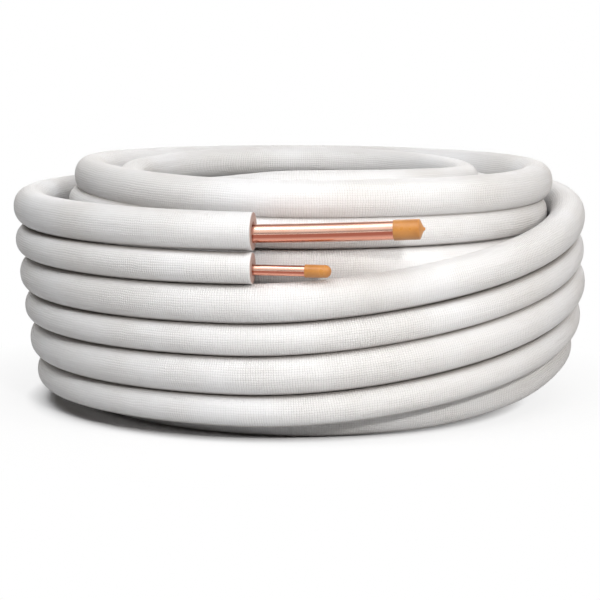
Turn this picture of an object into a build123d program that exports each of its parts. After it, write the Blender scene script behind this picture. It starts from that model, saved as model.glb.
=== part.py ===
from build123d import *
import os
from math import cos, radians, sin, sqrt

# A pair coil: two soft copper tubes, each in a white foam sleeve, wound side by side into
# two layers round one upright axis. The origin is on the bore's axis at the floor, +Z is up,
# and the free ends come off the outer layer at the front, -Y, pointing to +X.
# All lengths are in millimetres and all angles in degrees, counted from +X towards +Y.

# Copper tubes, in the two trade sizes of the pair
large_tube_od = 15.88
large_tube_wall = 1.0
small_tube_od = 9.52
small_tube_wall = 0.8

# Foam sleeves, slipped over the tubes
foam_wall = 10.0
tube_slip = 0.15

# Inner layer: its outside, and how far its foam is pressed by the drum, the floor and itself
inner_outside = 243.5
inner_pairs = 3
top_row_step = 2.5
drum_flat_depth = 1.0
floor_flat_depth = 0.8
row_press = 0.3
winding_squash_share = 0.06

# Outer layer, turn by turn from the top: mean slack round the inner layer, most of it loose
# on the -X side and taken up on the +X side
turn_slacks = (14.0, 11.0, 5.5)
turn_shift_share = 0.9
turn_gap = 1.1
top_turn_drop = 23.0
tail_gap = 0.3

# Inner end of the small line: a loose loop inside the top row, rising from the inner layer,
# nearest to the bore's wall on the -X side
loop_clearance = 6.0128
loop_shift = 12.0
loop_rise = 42.0
loop_end_rise = 38.0
loop_gap = 0.3

# Free ends of the two lines: bare copper from the sleeve's cut end to the tube's tip
large_bare_length = 154.0
large_bend_rise = 3.5
small_bare_length = 66.0

# Push-on caps on the tube tips: how far they grip, and the shape of their closed ends
cap_wall = 1.2
cap_slip = 0.1
cap_shoulder = 1.0
large_cap_grip = 24.0
large_cap_cone = 4.5
large_cap_nub_length = 1.8
large_cap_nub_radius = 1.3
small_cap_grip = 17.5

# Angles of the winding, which runs clockwise seen from above
free_end_angle = 260.0
descent_angle = 74.0
tail_angle = 150.0
loop_crest_angle = 90.0
loop_end_angle = -100.0

large_sleeve_radius = large_tube_od / 2 + foam_wall
small_sleeve_radius = small_tube_od / 2 + foam_wall

# Rows of the inner layer, oval because the winding's pull flattens the foam on the drum
large_row_half_width = large_sleeve_radius * (1 - winding_squash_share)
large_row_half_height = large_sleeve_radius * (1 + winding_squash_share)
small_row_half_width = small_sleeve_radius * (1 - winding_squash_share)
small_row_half_height = small_sleeve_radius * (1 + winding_squash_share)
large_row_radius = inner_outside - large_row_half_width
small_row_radius = inner_outside - small_row_half_width
bore_radius = inner_outside - 2 * large_row_half_width + drum_flat_depth
touching = large_sleeve_radius + small_sleeve_radius - row_press
aside = large_sleeve_radius - small_sleeve_radius
inner_row_pitch = sqrt(touching * touching - aside * aside) * (1 + winding_squash_share)
floor_row_level = large_row_half_height - floor_flat_depth
top_row_level = floor_row_level + 2 * inner_pairs * inner_row_pitch
loop_start_level = top_row_level - inner_row_pitch

# Rows of the outer layer, the large line above the small one
row_pitch = large_sleeve_radius + small_sleeve_radius + turn_gap
large_top_level = top_row_level - top_turn_drop
small_top_level = large_top_level - row_pitch


def station(angle, centre_radius, shift, level):
    """A point of a level turn, and the direction in which the winding passes it."""
    a = radians(angle)
    point = Vector(centre_radius * cos(a) - shift, centre_radius * sin(a), level)
    return point, Vector(sin(a), -cos(a), 0)


def outer_turns(sleeve_radius, top_level, tail_level):
    """Stations of one line, from its free end down the outer layer to its tail."""
    stations = []
    last = len(turn_slacks) - 1
    for turn, slack in enumerate(turn_slacks):
        centre_radius = inner_outside + slack + 2 * large_sleeve_radius - sleeve_radius
        shift = slack * turn_shift_share
        level = top_level - 2 * turn * row_pitch
        leaving_angle = tail_angle if turn == last else descent_angle
        stations.append(station(free_end_angle, centre_radius, shift, level))
        stations.append(station(leaving_angle, centre_radius, shift, level))
    snug_radius = inner_outside + tail_gap + sleeve_radius
    stations.append(station(descent_angle, snug_radius, 0, tail_level))
    return stations


def lay_arcs(stations):
    """Two tangent arcs between each pair of stations, inside the BuildLine that calls it."""
    for (start, leaving), (end, arriving) in zip(stations, stations[1:]):
        across = end - start
        a = 2 * (1 - leaving.dot(arriving))
        b = 2 * across.dot(leaving + arriving)
        handle = (sqrt(b * b + 4 * a * across.dot(across)) - b) / (2 * a)
        near = start + leaving * handle
        far = end - arriving * handle
        middle = (near + far) / 2
        TangentArc(start, middle, tangent=leaving)
        TangentArc(middle, end, tangent=far - near)


def tip_plane(tip, outwards):
    """A plane through a tube's axis: X off the axis, Y out of the tip, origin at the tip."""
    across = Vector(0, 0, 1).cross(outwards)
    return Plane(origin=tip, x_dir=outwards.cross(across), z_dir=across)


large_stations = outer_turns(large_sleeve_radius, large_top_level, floor_row_level + inner_row_pitch)
small_stations = outer_turns(small_sleeve_radius, small_top_level, floor_row_level)
large_cut, large_leaving = large_stations[0]
small_cut, small_leaving = small_stations[0]

# The large bare end bends up a little as it leaves the sleeve, and is straight in its cap
large_bend = Vector(0, 0, large_bend_rise) - large_leaving * (large_bare_length - large_cap_grip)
large_chord = large_bend.normalized()
large_outwards = large_leaving - large_chord * (2 * large_leaving.dot(large_chord))
large_tip = large_cut + large_bend + large_outwards * large_cap_grip

# The small bare end is straight
small_tip = small_cut - small_leaving * small_bare_length
small_outwards = small_leaving * -1

# Large tube and its sleeve
with BuildPart() as large_tube:
    with BuildLine() as large_tube_route:
        Line(large_tip, large_cut + large_bend)
        TangentArc(large_cut + large_bend, large_cut, tangent=large_outwards * -1)
        lay_arcs(large_stations)
    with BuildSketch(Plane(origin=large_tip, z_dir=large_outwards * -1)):
        Circle(large_tube_od / 2)
        Circle(large_tube_od / 2 - large_tube_wall, mode=Mode.SUBTRACT)
    sweep(path=large_tube_route.wire())
large_tube.part.label = "large_tube"

with BuildPart() as large_sleeve:
    with BuildLine() as large_sleeve_route:
        lay_arcs(large_stations)
    with BuildSketch(Plane(origin=large_cut, z_dir=large_leaving)):
        Circle(large_sleeve_radius)
        Circle(large_tube_od / 2 + tube_slip, mode=Mode.SUBTRACT)
    sweep(path=large_sleeve_route.wire())
large_sleeve.part.label = "large_sleeve"

# Small tube and its sleeve
with BuildPart() as small_tube:
    with BuildLine() as small_tube_route:
        Line(small_tip, small_cut)
        lay_arcs(small_stations)
    with BuildSketch(Plane(origin=small_tip, z_dir=small_leaving)):
        Circle(small_tube_od / 2)
        Circle(small_tube_od / 2 - small_tube_wall, mode=Mode.SUBTRACT)
    sweep(path=small_tube_route.wire())
small_tube.part.label = "small_tube"

with BuildPart() as small_sleeve:
    with BuildLine() as small_sleeve_route:
        lay_arcs(small_stations)
    with BuildSketch(Plane(origin=small_cut, z_dir=small_leaving)):
        Circle(small_sleeve_radius)
        Circle(small_tube_od / 2 + tube_slip, mode=Mode.SUBTRACT)
    sweep(path=small_sleeve_route.wire())
small_sleeve.part.label = "small_sleeve"

# Inner layer: level rows turned as one solid with its bore, the large line at top and bottom
with BuildPart() as inner_winding:
    with BuildSketch(Plane.XZ):
        for pair in range(inner_pairs):
            large_level = floor_row_level + 2 * pair * inner_row_pitch
            with Locations((large_row_radius, large_level)):
                Ellipse(large_row_half_width, large_row_half_height)
            with Locations((small_row_radius, large_level + inner_row_pitch)):
                Ellipse(small_row_half_width, small_row_half_height)
        with Locations((large_row_radius + top_row_step, top_row_level)):
            Ellipse(large_row_half_width, large_row_half_height)
        Rectangle(bore_radius, top_row_level, align=(Align.MIN, Align.MIN), mode=Mode.SUBTRACT)
        Rectangle(inner_outside, large_row_half_height, align=(Align.MIN, Align.MAX), mode=Mode.SUBTRACT)
    revolve(axis=Axis.Z)
inner_winding.part.label = "inner_winding"

# Inner end of the small line: it leaves the row below the top one and rises to a loose loop
with BuildPart() as small_inner_end:
    loop_start_radius = inner_outside - 2 * small_row_half_width - loop_gap - small_sleeve_radius
    loop_radius = bore_radius - loop_clearance - loop_shift - small_sleeve_radius
    loop_stations = [
        station(free_end_angle, loop_start_radius, 0, loop_start_level),
        station(loop_crest_angle, loop_radius, loop_shift, loop_start_level + loop_rise),
        station(loop_end_angle, loop_radius, loop_shift, loop_start_level + loop_end_rise),
    ]
    with BuildLine() as loop_route:
        lay_arcs(loop_stations)
    with BuildSketch(Plane(origin=loop_stations[0][0], z_dir=loop_stations[0][1])):
        Circle(small_sleeve_radius)
    sweep(path=loop_route.wire())
small_inner_end.part.label = "small_inner_end"

# Large cap: a straight skirt, a blunt cone and a moulding nub, turned round the tube's axis
large_cap_bore = large_tube_od / 2 + cap_slip
large_cap_radius = large_cap_bore + cap_wall
large_cap_plane = tip_plane(large_tip, large_outwards)
with BuildPart() as large_cap:
    with BuildSketch(large_cap_plane):
        with BuildLine():
            Polyline(
                (0, cap_slip),
                (large_cap_bore, cap_slip),
                (large_cap_bore, -large_cap_grip),
                (large_cap_radius, -large_cap_grip),
                (large_cap_radius, cap_shoulder),
                (large_cap_nub_radius, cap_shoulder + large_cap_cone),
                (large_cap_nub_radius, cap_shoulder + large_cap_cone + large_cap_nub_length),
                (0, cap_shoulder + large_cap_cone + large_cap_nub_length),
                close=True,
            )
        make_face()
    revolve(axis=Axis(large_tip, large_outwards))
large_cap.part.label = "large_cap"

# Small cap: a straight skirt and a round end
small_cap_bore = small_tube_od / 2 + cap_slip
small_cap_radius = small_cap_bore + cap_wall
small_cap_plane = tip_plane(small_tip, small_outwards)
with BuildPart() as small_cap:
    with BuildSketch(small_cap_plane):
        with BuildLine():
            Polyline(
                (0, cap_shoulder + small_cap_radius),
                (0, cap_slip),
                (small_cap_bore, cap_slip),
                (small_cap_bore, -small_cap_grip),
                (small_cap_radius, -small_cap_grip),
                (small_cap_radius, cap_shoulder),
            )
            JernArc((small_cap_radius, cap_shoulder), (0, 1), small_cap_radius, 90)
        make_face()
    revolve(axis=Axis(small_tip, small_outwards))
small_cap.part.label = "small_cap"

os.makedirs("parts", exist_ok=True)
export_step(large_tube.part, "parts/large_tube.step")
export_step(large_sleeve.part, "parts/large_sleeve.step")
export_step(small_tube.part, "parts/small_tube.step")
export_step(small_sleeve.part, "parts/small_sleeve.step")
export_step(inner_winding.part, "parts/inner_winding.step")
export_step(small_inner_end.part, "parts/small_inner_end.step")
export_step(large_cap.part, "parts/large_cap.step")
export_step(small_cap.part, "parts/small_cap.step")
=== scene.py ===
import math

import bpy
import numpy as np
from mathutils import Matrix


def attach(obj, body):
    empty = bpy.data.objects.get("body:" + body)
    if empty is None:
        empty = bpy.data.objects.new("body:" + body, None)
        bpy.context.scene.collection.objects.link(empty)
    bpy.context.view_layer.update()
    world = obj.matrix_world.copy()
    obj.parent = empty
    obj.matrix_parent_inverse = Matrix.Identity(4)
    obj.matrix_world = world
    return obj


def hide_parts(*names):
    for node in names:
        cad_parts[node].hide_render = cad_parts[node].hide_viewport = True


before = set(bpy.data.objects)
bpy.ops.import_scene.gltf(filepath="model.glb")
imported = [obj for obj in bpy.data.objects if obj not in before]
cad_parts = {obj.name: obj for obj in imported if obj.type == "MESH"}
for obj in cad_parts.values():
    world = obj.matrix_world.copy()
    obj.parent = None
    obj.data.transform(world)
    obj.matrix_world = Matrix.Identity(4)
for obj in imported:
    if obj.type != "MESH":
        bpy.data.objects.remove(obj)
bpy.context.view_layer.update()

# Lengths here are millimetres and angles degrees; a mesh is brought to metres as it is made.
TO_METRES = 0.001

# The two lines: foam half-width and half-height in a turn, copper radius, embossed ribs around
LARGE_WIDE, LARGE_HIGH, LARGE_COPPER, LARGE_RIBS = 17.94, 18.45, 7.94, 50
SMALL_WIDE, SMALL_HIGH, SMALL_COPPER, SMALL_RIBS = 14.76, 15.25, 4.76, 41
LARGE_WALL, SMALL_WALL = 1.0, 0.8
LARGE_BARE_RADIUS, SMALL_BARE_RADIUS = 8.75, 5.1
TUBE_SLIP = 0.15
RIB_PITCH = 2.25
FREE_END = 260.0

# The slack top two inner turns: half-width and half-height
TOP_WIDE, TOP_HIGH = 17.2, 18.4
SECOND_WIDE, SECOND_HIGH = 14.3, 15.4

# Each line's winding: angle turned from the free end, centre radius, shift to -X, level
LARGE_OUTER = np.array([
    (-0.7, 275.44, 12.6, 200.29),
    (60, 276.3, 14.8, 200.29),
    (235, 276.3, 14.8, 200.29),
    (365, 274.0, 12.3, 132.69),
    (595, 274.0, 12.3, 132.69),
    (725, 270.0, 7.5, 65.09),
    (920, 270.0, 7.5, 65.09),
    (990, 251.0, 3.0, 52.0),
    (1020, 241.5, 0.5, 34.0),
    (1048, 231.5, 0.0, 21.5),
    (1076, 226.0, 0.0, 18.6),
])
LARGE_INNER = np.array([
    (1070, 225.8, 0.0, 18.5),
    (1225, 225.8, 0.0, 18.5),
    (1335, 226.2, 0.0, 87.3),
    (1585, 226.2, 0.0, 87.3),
    (1695, 232.0, 0.0, 160.3),
    (2050, 232.0, 0.0, 160.3),
])
SMALL_OUTER = np.array([
    (-0.7, 278.62, 12.6, 166.49),
    (60, 278.6, 14.3, 166.49),
    (233, 278.6, 14.3, 166.49),
    (364, 272.8, 12.6, 98.89),
    (593, 272.8, 12.6, 98.89),
    (724, 267.8, 5.8, 31.29),
    (880, 267.8, 5.8, 31.29),
    (985, 228.9, 0.0, 52.4),
])
SMALL_INNER = np.array([
    (985, 228.9, 0.0, 52.4),
    (1220, 228.9, 0.0, 52.4),
    (1330, 229.2, 0.0, 123.2),
    (1685, 229.2, 0.0, 123.2),
])
TOP_TURN = np.array([(0, 229.1, 0.0, 225.0), (360, 229.1, 0.0, 225.0)])
SECOND_TURN = np.array([(0, 232.5, 6.0, 194.4), (360, 232.5, 6.0, 194.4)])
SMALL_LOOP = np.array([
    (-50, 224.0, 3.0, 195.2),
    (0, 206.0, 3.0, 198.5),
    (55, 177.0, 14.0, 220.0),
    (105, 172.5, 16.0, 229.0),
    (170, 174.0, 16.0, 231.0),
    (260, 171.5, 16.0, 226.5),
    (310, 172.0, 16.0, 231.5),
    (350, 172.5, 15.0, 233.0),
    (392, 167.0, 14.0, 223.0),
])
LARGE_END = np.array([
    (120, 229.1, 0.0, 223.3),
    (155, 222.0, 0.0, 222.6),
    (180, 210.0, 0.0, 221.0),
    (200, 200.0, 0.0, 216.0),
    (220, 194.0, 0.0, 211.0),
    (252, 191.0, 0.0, 203.5),
    (280, 190.5, 0.0, 197.0),
    (310, 191.5, 0.0, 190.0),
    (335, 193.0, 0.0, 184.0),
])

# How far the inner turns are lifted on their -X side, and the level that the lift is meant for
TOP_LIFT, SECOND_LIFT, INNER_TOP = 6.0, 14.0, 223.3

# Waves that keep the turns from being perfect: two of the radius, one of the level, which fades
# out below its own level so that the lowest turns lie on the floor
SLOW_WAVE, QUICK_WAVE, LEVEL_WAVE, WAVE_LEVEL = 0.7, 0.4, 0.35, 40

# How finely a line is divided: degrees along its turns, points around it and around a bare tube
STEP_ANGLE, LINE_AROUND, TUBE_AROUND = 1.5, 48, 64

# How much an oval is squared where it lies on the turns above and below; where the painted
# shade along its top and foot begins and the run to its full strength, as sines of the place
# around; the angle turned up to which the free end's own turn has no line above it, and the run
# of angle in which the painted shade on its top sets in
SQUARED = 0.012
GAP_SHADE_BEGIN, GAP_SHADE_RUN = 0.74, 0.25
LAID_UNDER, LAID_RUN = 355.0, 8

# A sleeve's cut end: depth of its bore, the bore's worn edge, the length in which the round
# sleeve takes the oval of a turn, and the length along it that the rim takes
BORE_DEPTH, BORE_EDGE, SETTLE_LENGTH, RIM_LENGTH = 18.0, 0.4, 100, 1.5

# Bare copper ends: length out of the sleeve and how far the cap grips; how far the tube lies below
# the sleeve's centre, with the large one's slope and bend; the length hidden in the sleeve, rows
# along it, and lines counted around a tube and around a cap
LARGE_BARE, LARGE_GRIP = 151.7, 21.8
LARGE_SAG, LARGE_SLOPE, LARGE_BEND = 2.3, 0.03, 0.000112
SMALL_BARE, SMALL_GRIP, SMALL_SAG = 66.0, 17.5, 1.5
HIDDEN_BARE, BARE_ROWS = 22.0, 120
COPPER_LINES, CAP_LINES = 22, 20

UP = np.array([0.0, 0.0, 1.0])


def unit(vector):
    """Vectors brought to length 1 along their last axis."""
    return vector / np.linalg.norm(vector, axis=-1, keepdims=True)


def around_turn(count):
    """Evenly spaced angles of one full turn, in radians, the last short of the first."""
    return np.linspace(0, 2 * np.pi, count, endpoint=False)


def smooth_rise(way, knots, values):
    """A monotone cubic through the knots: each knot's slope is the harmonic mean of the slopes
    on its two sides, or nothing where they differ in sign, so level stretches stay level."""
    runs = np.diff(knots)
    slopes = np.diff(values) / runs
    before, after = slopes[:-1], slopes[1:]
    same = before * after > 0
    mean = np.where(same, 2 * before * after / np.where(same, before + after, 1), 0)
    tangents = np.concatenate(([0.0], mean, [0.0]))
    k = np.clip(np.searchsorted(knots, way, side="right") - 1, 0, len(runs) - 1)
    t = (way - knots[k]) / runs[k]
    start = (1 + 2 * t) * (1 - t) ** 2 * values[k] + t * (1 - t) ** 2 * runs[k] * tangents[k]
    end = t * t * (3 - 2 * t) * values[k + 1] + t * t * (t - 1) * runs[k] * tangents[k + 1]
    return start + end


def turn_path(stations, lift=0.0):
    """The line's centre, point by point: radius, shift and level glide between the stations as
    the line turns clockwise; slow waves of under a millimetre keep the turns from being perfect.
    An inner turn is lifted on its -X side, by the square of its height."""
    knots = stations[:, 0]
    steps = int(round((knots[-1] - knots[0]) / STEP_ANGLE))
    way = np.linspace(knots[0], knots[-1], steps + 1)
    radius, shift, level = (smooth_rise(way, knots, stations[:, c]) for c in (1, 2, 3))
    angle = np.radians(FREE_END - way)
    radius = radius + SLOW_WAVE * np.sin(3 * angle + 0.02 * level)
    radius = radius + QUICK_WAVE * np.sin(7 * angle + 1.3)
    level = level + LEVEL_WAVE * np.sin(4 * angle + 0.6) * np.minimum(level / WAVE_LEVEL, 1) ** 2
    level = level + lift * np.clip(-np.cos(angle), 0, 1) ** 2 * (level / INNER_TOP) ** 2
    return np.stack([radius * np.cos(angle) - shift, radius * np.sin(angle), level], axis=1)


def carried_frame(path, closed=False):
    """Along the path: its direction, the level direction across it, and the upright one."""
    if closed:
        ahead = np.roll(path, -1, axis=0) - np.roll(path, 1, axis=0)
    else:
        ahead = np.gradient(path, axis=0)
    ahead = unit(ahead)
    across = unit(np.cross(ahead, UP))
    return ahead, across, np.cross(across, ahead)


def path_lengths(path):
    """The length along the path up to each of its points."""
    return np.concatenate(([0.0], np.cumsum(np.linalg.norm(np.diff(path, axis=0), axis=1))))


def tube_rows(path, wide, high, around=LINE_AROUND, closed=False, squared=SQUARED):
    """An oval carried along the path: centre + across * wide * cos + upright * high * sin, the
    oval a little squared where it presses on the turns above and below it."""
    _, across, upright = carried_frame(path, closed)
    turn = around_turn(around)
    swell = 1 + squared * (1 - np.cos(4 * turn))
    side = (wide * (np.cos(turn) * swell))[None, :, None]
    rise = (high * (np.sin(turn) * swell))[None, :, None]
    return path[:, None, :] + across[:, None, :] * side + upright[:, None, :] * rise


def mesh_of_rows(name, blocks):
    """One mesh from blocks of rows. A block is (points of rows x around, its length along each
    row in rib pitches, ribs around, cut mask of each row, whether its last row joins its first,
    mask of painted shade along the contact lines, rows x around). Rows are joined by four-sided
    faces; an open block's two ends are closed by one face each."""
    all_points, all_quads, all_ends, all_uv, end_uv, all_cut, all_gap_shade = ([] for _ in range(7))
    base = 0
    for points, along, ribs, cut, closed, gap_shade in blocks:
        rows, around, _ = points.shape
        last = rows if closed else rows - 1
        r, c = np.meshgrid(np.arange(last), np.arange(around), indexing="ij")
        r2, c2 = (r + 1) % rows, (c + 1) % around
        corners = np.stack([r * around + c, r2 * around + c,
                            r2 * around + c2, r * around + c2], axis=-1)
        all_quads.append(corners.reshape(-1, 4) + base)
        u0, u1 = along[r], along[r + 1]
        v0, v1 = c * ribs / around, (c + 1) * ribs / around
        uv = np.stack([np.stack([u0, v0], -1), np.stack([u1, v0], -1),
                       np.stack([u1, v1], -1), np.stack([u0, v1], -1)], axis=-2)
        all_uv.append(uv.reshape(-1, 2))
        if not closed:
            all_ends.append((base + np.arange(around)).tolist())
            all_ends.append((base + (rows - 1) * around + np.arange(around)[::-1]).tolist())
            end_uv.append(np.zeros((2 * around, 2)))
        all_points.append(points.reshape(-1, 3))
        all_cut.append(np.repeat(cut, around))
        all_gap_shade.append(np.broadcast_to(gap_shade, (rows, around)).ravel())
        base += rows * around
    mesh = bpy.data.meshes.new(name)
    mesh.from_pydata(np.concatenate(all_points) * TO_METRES, [],
                     np.concatenate(all_quads).tolist() + all_ends)
    uv_layer = mesh.uv_layers.new(name="turns")
    uv_layer.data.foreach_set("uv", np.concatenate(all_uv + end_uv).ravel())
    # The second mask marks painted shade where the turns lie on each other
    for mask, values in (("cut", all_cut), ("gap_shade", all_gap_shade)):
        layer = mesh.attributes.new(mask, "FLOAT", "POINT")
        layer.data.foreach_set("value", np.concatenate(values))
    mesh.polygons.foreach_set("use_smooth", np.ones(len(mesh.polygons), dtype=bool))
    mesh.update()
    piece = bpy.data.objects.new(name, mesh)
    bpy.context.scene.collection.objects.link(piece)
    return piece


def painted_shade_marks(way, above, below):
    """Painted shade where a turn lies on its neighbours: 1 along its very top and bottom, fading
    out as the sine of the place around falls to where the shade begins. Where above is None, the
    shade on top holds from the turned angle LAID_UNDER on."""
    height = np.sin(around_turn(LINE_AROUND))[None, :]
    on = np.clip((way - LAID_UNDER) / LAID_RUN, 0, 1)[:, None] if above is None else above
    near_top = np.clip((height - GAP_SHADE_BEGIN) / GAP_SHADE_RUN, 0, 1)
    near_foot = np.clip((-height - GAP_SHADE_BEGIN) / GAP_SHADE_RUN, 0, 1)
    marks = on * near_top + below * near_foot
    return np.broadcast_to(marks * marks * (3 - 2 * marks), (len(way), LINE_AROUND))


def line_block(stations, wide, high, ribs, lift=0.0, closed=False, above=1.0, below=1.0):
    """A stretch of one line as a block of rows for mesh_of_rows; a closed one joins its start,
    and its ribs are stretched a little to come out whole."""
    path = turn_path(stations, lift=lift)
    along = path_lengths(path) / RIB_PITCH
    if closed:
        along = along * (np.round(along[-1]) / along[-1])
        path = path[:-1]
    points = tube_rows(path, wide, high, closed=closed)
    # Painted shade along the turn's top and foot
    gap_shade = painted_shade_marks(np.zeros(len(path)), above, below)
    return points, along, ribs, np.zeros(len(path)), closed, gap_shade


def cut_end(path, ahead, across, upright, radius, bore):
    """Rows of a sleeve's cut end, from deep in its bore out to its skin: the bore's wall, the
    flat face, and a rim rounded by a millimetre."""
    turn = around_turn(LINE_AROUND)
    bend = np.linspace(0, np.pi / 2, 4)
    sizes = np.concatenate((
        [bore, bore, bore + BORE_EDGE], [radius * 0.6, radius * 0.8], radius - 1 + np.sin(bend)))
    depths = np.concatenate((
        [BORE_DEPTH, BORE_EDGE, 0.0], [0.1, 0.05], 1 - np.cos(bend)))
    ring = np.cos(turn)[:, None] * across + np.sin(turn)[:, None] * upright
    rows = path + depths[:, None, None] * ahead + sizes[:, None, None] * ring[None]
    cut = np.array([1, 1, 1, 1, 1, 1, 0.6, 0.2, 0.0])
    return rows, cut


def sleeved_line(stations, wide, high, ribs, copper, last_cut=False, above=0.0, below=0.0):
    """A stretch of a line with its sleeve's cut end at the start, or at the end where last_cut
    says so; the sleeve is round there and takes the turn's oval over SETTLE_LENGTH."""
    path = turn_path(stations)
    way = np.linspace(stations[0, 0], stations[-1, 0], len(path))
    if last_cut:
        path = path[::-1]
    ahead, across, upright = carried_frame(path)
    length = path_lengths(path)
    settle = np.clip(length / SETTLE_LENGTH, 0, 1)
    settle = (settle * settle * (3 - 2 * settle))[:, None, None]
    oval = tube_rows(path, wide, high)
    circle = tube_rows(path, wide, wide, squared=0.0)
    mouth, mouth_cut = cut_end(path[0], ahead[0], across[0], upright[0], wide, copper + TUBE_SLIP)
    first = int(np.searchsorted(length, RIM_LENGTH))
    points = np.concatenate([mouth, (circle + (oval - circle) * settle)[first:]])
    along = np.concatenate([np.zeros(len(mouth)), length[first:]]) / RIB_PITCH
    cut = np.concatenate([mouth_cut, np.zeros(len(path) - first)])
    # Painted shade along the turn's top and foot
    gap_shade = painted_shade_marks(way, above, below)[first:]
    gap_shade = np.concatenate([np.zeros((len(mouth), gap_shade.shape[1])), gap_shade])
    return points, along, ribs, cut, False, gap_shade


def free_end(stations):
    """Where a line's sleeve is cut, and the direction in which its bare tube leaves it."""
    path = turn_path(stations)
    ahead = carried_frame(path)[0][0]
    return path[0], unit(np.array([-ahead[0], -ahead[1], 0.0]))


def bare_path(start, outwards, length, sag, slope, bend, straight):
    """The bare tube's centre: level in the sleeve, a little below the sleeve's own centre, then
    lifted by slope * s + bend * s * s up to the cap, and straight along the slope it has there."""
    s = np.linspace(-HIDDEN_BARE, length, BARE_ROWS)
    run = length - straight
    on = np.clip(s, 0, run)
    end_slope = slope + 2 * bend * run
    lift = -sag + slope * on + bend * on * on + end_slope * np.clip(s - run, 0, None)
    return start + s[:, None] * outwards + lift[:, None] * UP


def lathe_rows(tip, outwards, profile, around=TUBE_AROUND):
    """A profile of (distance past the tip, radius) turned round the tube's axis."""
    across = unit(np.cross(outwards, UP))
    upright = np.cross(across, outwards)
    turn = around_turn(around)
    ring = np.cos(turn)[:, None] * across + np.sin(turn)[:, None] * upright
    profile = np.asarray(profile)
    return tip + profile[:, 0, None, None] * outwards + profile[:, 1, None, None] * ring[None]


def rounded(corner, radius, start_angle, end_angle, steps=6):
    """Points of a round: centre + radius * (cos, sin), as (distance past the tip, radius)."""
    a = np.radians(np.linspace(start_angle, end_angle, steps))
    return np.stack([corner[0] + radius * np.cos(a), corner[1] + radius * np.sin(a)], axis=1)


# Colours of the finishes
SKIN_COOL, SKIN_WARM = (0.835, 0.838, 0.848, 1), (0.85, 0.838, 0.825, 1)
# The first of these is painted shade, darkening the grooves between the embossed cells
PAINTED_GROOVE_SHADE, STREAK_SHADE = (0.52, 0.50, 0.49, 1), (0.62, 0.60, 0.58, 1)
# Painted shade: the brown that darkens the foam where the turns lie on each other
PAINTED_GAP_SHADE = (0.20, 0.165, 0.14, 1)
# The cut core's pink-brown: partly its own colour, partly painted shade and a painted reflection of
# the copper
CORE_AND_SHADE_LIGHT, CORE_AND_SHADE_DARK = (0.52, 0.37, 0.33, 1), (0.40, 0.27, 0.23, 1)
COPPER_BRIGHT, COPPER_BLOOM = (0.955, 0.64, 0.54, 1), (0.92, 0.56, 0.44, 1)
CAP_LIGHT, CAP_DARK = (0.57, 0.245, 0.052, 1), (0.44, 0.17, 0.034, 1)

# Painted reflections: three darker bands along the copper at fixed places around it; middle and
# half-width in COPPER_LINES around, strength, colour
PAINTED_REFLECTION_BANDS = (
    (19.2, 1.6, 0.9, (0.74, 0.33, 0.23, 1)),
    (21.35, 0.95, 0.95, (0.38, 0.10, 0.06, 1)),
    (4.0, 0.45, 0.95, (0.26, 0.085, 0.055, 1)),
)
REFLECTION_BAND_FADE = 0.6


def add(tree, kind, **settings):
    """A node of that kind in the tree, with its settings and its unlinked inputs filled in."""
    node = tree.nodes.new(kind)
    for name, value in settings.items():
        if hasattr(node, name):
            setattr(node, name, value)
        else:
            node.inputs[name].default_value = value
    return node


def feed(tree, socket, value):
    """Links a socket to the input, or sets the input to a plain number or colour."""
    if isinstance(value, (int, float, tuple)):
        socket.default_value = value
    else:
        tree.links.new(value, socket)


def calc(tree, operation, a, b=None):
    """A Math node; a and b are sockets or plain numbers."""
    node = add(tree, "ShaderNodeMath", operation=operation)
    feed(tree, node.inputs[0], a)
    if b is not None:
        feed(tree, node.inputs[1], b)
    return node.outputs[0]


def blend_colours(tree, share, first, second):
    """A colour Mix node; share is a socket or number, the colours are sockets or RGBA tuples."""
    node = add(tree, "ShaderNodeMix", data_type="RGBA", blend_type="MIX")
    for place_in, value in ((0, share), (6, first), (7, second)):
        feed(tree, node.inputs[place_in], value)
    return node.outputs[2]


def noise(tree, vector, scale, detail=3.0):
    """A noise texture's value on that vector."""
    node = add(tree, "ShaderNodeTexNoise", noise_dimensions="3D", Scale=scale, Detail=detail)
    node.inputs["Roughness"].default_value = 0.5
    tree.links.new(vector, node.inputs["Vector"])
    return node.outputs["Fac"]


def between(tree, value, low, high, to_low, to_high):
    """The value carried from one range to another, held at its ends."""
    node = add(tree, "ShaderNodeMapRange", clamp=True)
    tree.links.new(value, node.inputs["Value"])
    for name, number in (("From Min", low), ("From Max", high),
                         ("To Min", to_low), ("To Max", to_high)):
        node.inputs[name].default_value = number
    return node.outputs["Result"]


def bump(tree, height, strength, distance, under=None):
    """A Bump node over an earlier normal."""
    node = add(tree, "ShaderNodeBump", Strength=strength, Distance=distance)
    tree.links.new(height, node.inputs["Height"])
    if under is not None:
        tree.links.new(under, node.inputs["Normal"])
    return node.outputs["Normal"]


def object_place(tree):
    """The place on the object, in metres."""
    return tree.nodes.new("ShaderNodeTexCoord").outputs["Object"]


def line_place(tree):
    """The length along a line and the place around it, both counted in ribs."""
    uv = add(tree, "ShaderNodeUVMap", uv_map="turns")
    split = tree.nodes.new("ShaderNodeSeparateXYZ")
    tree.links.new(uv.outputs["UV"], split.inputs[0])
    return split.outputs["X"], split.outputs["Y"]


def mask_of(tree, name):
    """A mask that the mesh carries."""
    return add(tree, "ShaderNodeAttribute", attribute_name=name).outputs["Fac"]


def surface_group(name):
    """An empty node group that puts out a colour, a roughness and a normal."""
    group = bpy.data.node_groups.new(name, "ShaderNodeTree")
    for output, kind in (("Colour", "Color"), ("Roughness", "Float"), ("Normal", "Vector")):
        group.interface.new_socket(name=output, in_out="OUTPUT", socket_type="NodeSocket" + kind)
    return group, group.nodes.new("NodeGroupOutput")


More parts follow.
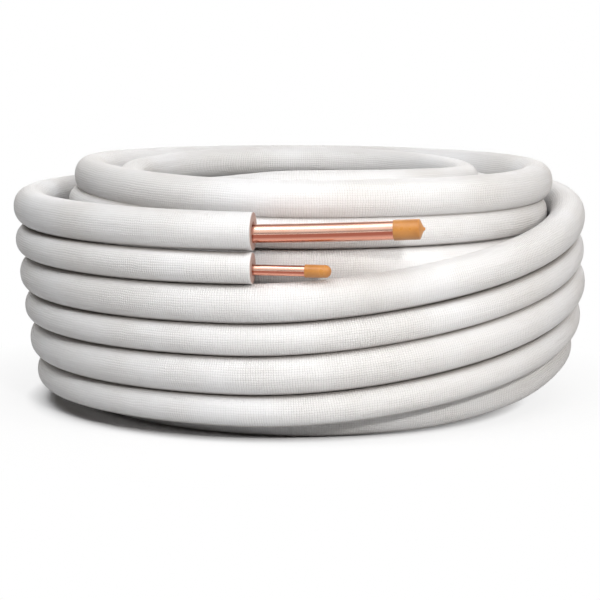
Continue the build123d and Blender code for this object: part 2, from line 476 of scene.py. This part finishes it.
def foam_skin():
    """White skin embossed with small square cells: height is the root of |sin| of the length
    along times |sin| of the place around, both counted in ribs and both wavering a little; the
    grooves between the cells are darkened with painted shade. Soft streaks run along the line,
    and the cells are deeper in some stretches than in others. Painted shade darkens each turn
    along its top and foot, where it lies on its neighbours, and the cut ends show a porous core
    whose pink-brown tint is partly its own and partly painted shade and a painted reflection of
    the copper."""
    group, out = surface_group("foam_skin")
    along_line, around_line = line_place(group)
    here = object_place(group)
    cut = mask_of(group, "cut")
    skin = calc(group, "SUBTRACT", 1.0, cut)

    def wavering(ribs, scale):
        """|sin| of half turns per rib, the ribs shifted to and fro by a noise of that scale."""
        shift = calc(group, "SUBTRACT", noise(group, here, scale, 2.0), 0.5)
        ribs = calc(group, "ADD", ribs, calc(group, "MULTIPLY", shift, 1.3))
        return calc(group, "ABSOLUTE", calc(group, "SINE", calc(group, "MULTIPLY", ribs, math.pi)))

    rings = wavering(along_line, 70.0)
    lines = calc(group, "POWER", wavering(around_line, 45.0), 0.6)
    cells = calc(group, "POWER", calc(group, "MULTIPLY", rings, lines), 0.5)
    streak_place = group.nodes.new("ShaderNodeCombineXYZ")
    drift = noise(group, here, 12.0, 1.0)
    for axis, (value, scale) in enumerate(((along_line, 0.035), (around_line, 0.45), (drift, 1.5))):
        group.links.new(calc(group, "MULTIPLY", value, scale), streak_place.inputs[axis])
    streaks = noise(group, streak_place.outputs[0], 1.0)
    clouds = noise(group, here, 9.0)
    pores = noise(group, here, 900.0, 2.0)

    tint = blend_colours(group, between(group, clouds, 0.35, 0.65, 0.0, 1.0), SKIN_COOL, SKIN_WARM)
    depth = between(group, clouds, 0.35, 0.65, 0.16, 0.40)
    # Painted shade in the grooves between the cells, deeper where the cells run deeper
    groove_shade_share = calc(group, "MULTIPLY", calc(group, "SUBTRACT", 1.0, cells), depth)
    tint = blend_colours(group, calc(group, "MULTIPLY", groove_shade_share, skin), tint, PAINTED_GROOVE_SHADE)
    tint = blend_colours(group, between(group, streaks, 0.5, 0.8, 0.0, 0.16), tint, STREAK_SHADE)
    # Painted shade along the contact lines between the turns, stronger in some stretches
    gap_shade_strength = between(group, clouds, 0.3, 0.7, 0.85, 0.55)
    gap_shaded = calc(group, "MULTIPLY", mask_of(group, "gap_shade"), gap_shade_strength)
    tint = blend_colours(group, gap_shaded, tint, PAINTED_GAP_SHADE)
    # Cut faces: a porous core, its dark pink-brown partly painted shade and a painted reflection of
    # the copper
    core = blend_colours(group, between(group, pores, 0.3, 0.7, 0.0, 1.0), CORE_AND_SHADE_LIGHT, CORE_AND_SHADE_DARK)
    group.links.new(blend_colours(group, cut, tint, core), out.inputs["Colour"])
    group.links.new(between(group, streaks, 0.2, 0.8, 0.48, 0.66), out.inputs["Roughness"])

    soft = bump(group, noise(group, here, 26.0, 2.0), 0.4, 0.0016)
    creased = bump(group, calc(group, "MULTIPLY", streaks, skin), 0.5, 0.0014, soft)
    raised = calc(group, "MULTIPLY", calc(group, "MULTIPLY", cells, skin), depth)
    ribbed = bump(group, raised, 1.0, 0.0016, creased)
    porous = bump(group, calc(group, "MULTIPLY", pores, cut), 0.5, 0.0004, ribbed)
    group.links.new(porous, out.inputs["Normal"])
    return group


def drawn_copper():
    """Bright soft-drawn tube with fine lines along its length and a faint bloom in patches; three
    darker bands along it are painted reflections, set at fixed places around the tube. Places
    around the tube are counted from 0 at the front up to the top."""
    group, out = surface_group("drawn_copper")
    along_line, around_line = line_place(group)
    fine_place = group.nodes.new("ShaderNodeCombineXYZ")
    group.links.new(calc(group, "MULTIPLY", along_line, 0.04), fine_place.inputs[0])
    group.links.new(calc(group, "MULTIPLY", around_line, 5.0), fine_place.inputs[1])
    lines = noise(group, fine_place.outputs[0], 1.0)
    bloom = noise(group, object_place(group), 60.0, 4.0)
    colour = blend_colours(group, between(group, bloom, 0.35, 0.7, 0.0, 1.0),
                           COPPER_BRIGHT, COPPER_BLOOM)
    # Painted reflections: darker bands where a shiny tube would mirror dark surroundings
    for middle, half, strength, shade in PAINTED_REFLECTION_BANDS:
        gap = calc(group, "ABSOLUTE", calc(group, "SUBTRACT", around_line, middle))
        share = between(group, gap, half + REFLECTION_BAND_FADE, half * 0.5, 0.0, strength)
        colour = blend_colours(group, share, colour, shade)
    group.links.new(colour, out.inputs["Colour"])
    worn = calc(group, "ADD", lines, calc(group, "MULTIPLY", bloom, 0.5))
    group.links.new(between(group, worn, 0.5, 1.0, 0.13, 0.26), out.inputs["Roughness"])
    group.links.new(bump(group, lines, 0.05, 0.0002), out.inputs["Normal"])
    return group


def moulded_cap():
    """Soft moulded plastic: slightly uneven colour, a fine orange-peel surface."""
    group, out = surface_group("moulded_cap")
    here = object_place(group)
    clouds = noise(group, here, 90.0)
    grain = noise(group, here, 1400.0, 2.0)
    colour = blend_colours(group, between(group, clouds, 0.3, 0.7, 0.0, 1.0), CAP_LIGHT, CAP_DARK)
    group.links.new(colour, out.inputs["Colour"])
    group.links.new(between(group, clouds, 0.3, 0.7, 0.26, 0.36), out.inputs["Roughness"])
    group.links.new(bump(group, grain, 0.25, 0.0002), out.inputs["Normal"])
    return group


def finish_of(name, group, metallic=0.0, specular=0.5):
    """A material whose colour, roughness and normal come from a group."""
    material = bpy.data.materials.new(name)
    material.use_nodes = True
    tree = material.node_tree
    shader = tree.nodes["Principled BSDF"]
    shader.inputs["Metallic"].default_value = metallic
    shader.inputs["Specular IOR Level"].default_value = specular
    node = add(tree, "ShaderNodeGroup", node_tree=group)
    tree.links.new(node.outputs["Colour"], shader.inputs["Base Color"])
    tree.links.new(node.outputs["Roughness"], shader.inputs["Roughness"])
    tree.links.new(node.outputs["Normal"], shader.inputs["Normal"])
    return material


white_foam = finish_of("white_foam", foam_skin(), specular=0.35)
copper = finish_of("copper", drawn_copper(), metallic=1.0)
cap_plastic = finish_of("cap_plastic", moulded_cap(), specular=0.6)


def place(piece, material, slot, *nodes):
    """Gives a piece its material and lets it stand for those CAD nodes; the slot is not used."""
    piece.data.materials.append(material)
    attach(piece, "root")
    if nodes:
        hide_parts(*nodes)


large_line = mesh_of_rows("large_line", [
    sleeved_line(LARGE_OUTER, LARGE_WIDE, LARGE_HIGH, LARGE_RIBS, LARGE_BARE_RADIUS,
                 above=None, below=1.0),
])
place(large_line, white_foam, "white_foam", "large_sleeve")
small_line = mesh_of_rows("small_line", [
    sleeved_line(SMALL_OUTER, SMALL_WIDE, SMALL_HIGH, SMALL_RIBS, SMALL_BARE_RADIUS,
                 above=1.0, below=1.0),
])
place(small_line, white_foam, "white_foam", "small_sleeve")

inner_turns = mesh_of_rows("inner_turns", [
    line_block(LARGE_INNER, LARGE_WIDE, LARGE_HIGH, LARGE_RIBS, lift=SECOND_LIFT, above=0.5),
    line_block(SMALL_INNER, SMALL_WIDE, SMALL_HIGH, SMALL_RIBS, lift=SECOND_LIFT),
    line_block(TOP_TURN, TOP_WIDE, TOP_HIGH, LARGE_RIBS, lift=TOP_LIFT, closed=True, above=0.0),
    line_block(SECOND_TURN, SECOND_WIDE, SECOND_HIGH, SMALL_RIBS, lift=SECOND_LIFT, closed=True),
    sleeved_line(LARGE_END, LARGE_WIDE, LARGE_WIDE, LARGE_RIBS, LARGE_COPPER, last_cut=True),
])
place(inner_turns, white_foam, "white_foam", "inner_winding")
small_loop = mesh_of_rows("small_loop", [
    sleeved_line(SMALL_LOOP, SMALL_WIDE, SMALL_WIDE, SMALL_RIBS, SMALL_COPPER, last_cut=True),
])
place(small_loop, white_foam, "white_foam", "small_inner_end")


def plain_block(rows, along, lines):
    """Rows of a piece that has no cut face and no painted shade, as a block for mesh_of_rows."""
    return rows, along, lines, np.zeros(len(rows)), False, 0.0


def bare_tube(name, path, radius):
    """A round copper tube along its path, its hidden ends closed."""
    rows = tube_rows(path, radius, radius, around=TUBE_AROUND)
    return mesh_of_rows(name, [plain_block(rows, path_lengths(path) / RIB_PITCH, COPPER_LINES)])


large_cut, large_out = free_end(LARGE_OUTER)
large_bare = bare_path(large_cut, large_out, LARGE_BARE,
                       LARGE_SAG, LARGE_SLOPE, LARGE_BEND, LARGE_GRIP)
place(bare_tube("large_bare_end", large_bare, LARGE_BARE_RADIUS), copper, "copper", "large_tube")
small_cut, small_out = free_end(SMALL_OUTER)
small_bare = bare_path(small_cut, small_out, SMALL_BARE, SMALL_SAG, 0.0, 0.0, SMALL_GRIP)
place(bare_tube("small_bare_end", small_bare, SMALL_BARE_RADIUS), copper, "copper", "small_tube")


# The copper in an inner cut end: how far behind the sleeve's cut its outside begins, its rim lies
# and its bore ends, the rim's softened edge, and the length along the profile in rib pitches
INNER_START, INNER_SHORT, INNER_BORE, INNER_EDGE = 14.0, 2.0, 30.0, 0.2
INNER_ALONG = np.array([0.0, 5.2, 5.4, 5.6, 5.8, 18.0])


def open_tube(name, stations, radius, wall):
    """The end of the copper inside a cut sleeve: its outside from deep in the sleeve to just short
    of the cut, over the rim, and back down its bore."""
    path = turn_path(stations)[::-1]
    ahead = carried_frame(path)[0][0]
    bore, shoulder = radius - wall, INNER_SHORT + INNER_EDGE
    profile = [(-INNER_START, radius), (-shoulder, radius), (-INNER_SHORT, radius - INNER_EDGE),
               (-INNER_SHORT, bore + INNER_EDGE), (-shoulder, bore), (-INNER_BORE, bore)]
    rows = lathe_rows(path[0], -ahead, profile, around=LINE_AROUND)
    return mesh_of_rows(name, [plain_block(rows, INNER_ALONG, COPPER_LINES)])


place(open_tube("small_inner_tube", SMALL_LOOP, SMALL_COPPER, SMALL_WALL), copper, "copper")
place(open_tube("large_inner_tube", LARGE_END, LARGE_COPPER, LARGE_WALL), copper, "copper")

# The caps' profiles, from the mouth over the grip to the tip: distance past the tube's end, radius
LARGE_CAP = np.concatenate([
    [(-LARGE_GRIP + 1.5, 8.76), (-LARGE_GRIP, 8.8)],
    rounded((-LARGE_GRIP + 0.4, 9.1), 0.4, 180, 90),
    [(-12.0, 9.5), (0.8, 9.46)],
    rounded((1.2, 8.06), 1.4, 88, 30),
    [(4.6, 3.6), (5.5, 2.1), (5.9, 1.55)],
    rounded((6.3, 0.9), 0.6, 80, 5),
    [(6.9, 0.05)],
])
SMALL_CAP = np.concatenate([
    [(-SMALL_GRIP + 1.5, 5.11), (-SMALL_GRIP, 5.2)],
    rounded((-SMALL_GRIP + 0.5, 5.56), 0.5, 180, 90),
    [(-8.0, 6.03), (0.6, 6.0)],
    rounded((1.0, 0.0), 6.0, 88, 1, 16),
])


def cap_piece(name, path, profile):
    """A cap turned round the end of a bare tube's path."""
    rows = lathe_rows(path[-1], unit(path[-1] - path[-2]), profile)
    return mesh_of_rows(name, [plain_block(rows, np.arange(len(rows), dtype=float), CAP_LINES)])


large_end_cap = cap_piece("large_end_cap", large_bare, LARGE_CAP)
place(large_end_cap, cap_plastic, "yellow_cap", "large_cap")
small_end_cap = cap_piece("small_end_cap", small_bare, SMALL_CAP)
place(small_end_cap, cap_plastic, "yellow_cap", "small_cap")

# The stage, from here on in metres: the floor's half-size and level, the centre of its pale rings
# and where they begin, turn mostly white and turn wholly white
FLOOR_HALF, FLOOR_LEVEL = 6.0, -0.0003
RING_CENTRE, RING_BEGIN, RING_PALE, RING_WHITE = (-0.04, 0.0, 0.0), 0.235, 0.262, 0.45
PALE_SHARE = 0.8
FLOOR_GREY, FLOOR_SEEN = (0.5, 0.5, 0.5, 1), (1.0, 1.0, 1.0, 1)

# The world's light: its level on the object, and how bright reflections see the room low down
WORLD_LEVEL, LOW_ROOM = 0.10, 0.30
WORLD_WARM, WORLD_SEEN = (1.0, 0.94, 0.88, 1), (1, 1, 1, 1)

# Lamps: name, spot, aim, width, height, watts, colour, whether the metal mirrors it
LAMPS = (
    ("key", (0.0, -1.85, 1.65), (0.0, -0.25, 0.12), 1.6, 1.0, 18.2, (0.99, 0.99, 1.0), False),
    ("near_key", (0.53, -2.27, 1.0), (0.03, -0.28, 0.17), 0.16, 0.16, 21.4,
     (1.0, 0.99, 0.98), False),
    ("strip", (0.0, -0.95, 1.8), (0.0, -0.2, 0.2), 2.4, 1.2, 9.6, (1.0, 1.0, 1.0), True),
    ("left_fill", (-1.1, -0.95, 2.1), (0.0, -0.1, 0.12), 0.7, 0.9, 8.6, (0.92, 0.96, 1.0), True),
    ("right_fill", (1.7, -1.45, 1.15), (0.0, -0.1, 0.12), 0.7, 0.9, 11.0, (1.0, 0.94, 0.88), True),
    ("back_fill", (0.0, 2.1, 1.0), (0.0, 0.2, 0.12), 2.4, 1.0, 21.0, (1.0, 0.99, 0.98), True),
)

# The camera: place, tilt down in degrees, focal length and picture width in pixels, sensor width
EYE_PLACE, EYE_TILT = (-0.01436, -2.3007, 0.4234), 8.046
FOCAL_PIXELS, PICTURE_PIXELS, SENSOR_WIDTH, FAR_CLIP = 2223.9, 600, 36.0, 50.0


def white_floor():
    """Pale floor that keeps the shadow under the coil, pales by four fifths just outside the ring
    it stands on, and turns plain white further out."""
    material = bpy.data.materials.new("white_floor")
    material.use_nodes = True
    tree = material.node_tree
    tree.nodes.clear()
    out = tree.nodes.new("ShaderNodeOutputMaterial")
    distance = add(tree, "ShaderNodeVectorMath", operation="DISTANCE")
    distance.inputs[1].default_value = RING_CENTRE
    tree.links.new(object_place(tree), distance.inputs[0])
    far = distance.outputs["Value"]
    ray = tree.nodes.new("ShaderNodeLightPath")
    mirrored = calc(tree, "MAXIMUM", ray.outputs["Is Glossy Ray"],
                    ray.outputs["Is Transmission Ray"])
    seen = calc(tree, "MAXIMUM", ray.outputs["Is Camera Ray"], mirrored)
    near = tree.nodes.new("ShaderNodeBsdfDiffuse")
    tree.links.new(blend_colours(tree, seen, FLOOR_GREY, FLOOR_SEEN), near.inputs["Color"])
    white = tree.nodes.new("ShaderNodeEmission")
    pale = calc(tree, "ADD", between(tree, far, RING_BEGIN, RING_PALE, 0.0, PALE_SHARE),
                between(tree, far, RING_PALE, RING_WHITE, 0.0, 1 - PALE_SHARE))
    mix = tree.nodes.new("ShaderNodeMixShader")
    tree.links.new(calc(tree, "MULTIPLY", seen, pale), mix.inputs[0])
    tree.links.new(near.outputs[0], mix.inputs[1])
    tree.links.new(white.outputs[0], mix.inputs[2])
    tree.links.new(mix.outputs[0], out.inputs["Surface"])
    return material


def floor_sheet(half, level):
    """A level square just under the coil."""
    mesh = bpy.data.meshes.new("floor")
    corners = [(x * half, y * half, level) for x, y in ((-1, -1), (1, -1), (1, 1), (-1, 1))]
    mesh.from_pydata(corners, [], [(0, 1, 2, 3)])
    sheet = bpy.data.objects.new("floor", mesh)
    bpy.context.scene.collection.objects.link(sheet)
    sheet.data.materials.append(white_floor())


def studio_world(level, low_room):
    """Even warm-white light all round; white to the camera. Reflections see a white room, dimmer
    low down on the camera's side."""
    world = bpy.data.worlds.new("studio")
    bpy.context.scene.world = world
    world.use_nodes = True
    tree = world.node_tree
    ground = tree.nodes["Background"]
    ray = tree.nodes.new("ShaderNodeLightPath")
    split = tree.nodes.new("ShaderNodeSeparateXYZ")
    tree.links.new(tree.nodes.new("ShaderNodeTexCoord").outputs["Generated"], split.inputs[0])
    mirrored = calc(tree, "MAXIMUM", ray.outputs["Is Glossy Ray"],
                    ray.outputs["Is Transmission Ray"])
    behind = between(tree, split.outputs["Y"], -0.4, 0.4, 0.0, 1.0)
    above = between(tree, split.outputs["Z"], 0.08, 0.40, low_room, 1.0)
    room = calc(tree, "MAXIMUM", behind, above)
    more = calc(tree, "MULTIPLY", mirrored, calc(tree, "SUBTRACT", room, level))
    lit = calc(tree, "ADD", level, more)
    seen = calc(tree, "MAXIMUM", lit, ray.outputs["Is Camera Ray"])
    tree.links.new(seen, ground.inputs["Strength"])
    tint = blend_colours(tree, ray.outputs["Is Camera Ray"], WORLD_WARM, WORLD_SEEN)
    tree.links.new(tint, ground.inputs["Color"])


def soft_box(name, spot, aim, wide, high, power, colour, mirrored):
    """A rectangular lamp at a spot, turned to its aim; the metal shows it where it is mirrored."""
    lamp = bpy.data.lights.new(name, "AREA")
    lamp.shape = "RECTANGLE"
    lamp.size, lamp.size_y = wide, high
    lamp.energy = power
    lamp.color = colour
    holder = bpy.data.objects.new(name, lamp)
    holder.visible_glossy = mirrored
    bpy.context.scene.collection.objects.link(holder)
    ahead = unit(np.array(aim) - np.array(spot))
    across = unit(np.cross(ahead, UP))
    matrix = np.eye(4)
    matrix[:3] = np.stack([across, np.cross(across, ahead), -ahead, np.array(spot)], axis=1)
    holder.matrix_world = Matrix(matrix.tolist())


floor_sheet(FLOOR_HALF, FLOOR_LEVEL)
studio_world(WORLD_LEVEL, LOW_ROOM)
for lamp_values in LAMPS:
    soft_box(*lamp_values)

camera = bpy.data.cameras.new("camera")
camera.sensor_width = SENSOR_WIDTH
camera.lens = FOCAL_PIXELS / PICTURE_PIXELS * SENSOR_WIDTH
camera.clip_end = FAR_CLIP
eye = bpy.data.objects.new("camera", camera)
eye.location = EYE_PLACE
eye.rotation_euler = (math.radians(90 - EYE_TILT), 0, 0)
bpy.context.scene.collection.objects.link(eye)
bpy.context.scene.camera = eye
bpy.context.scene.view_settings.view_transform = "Standard"
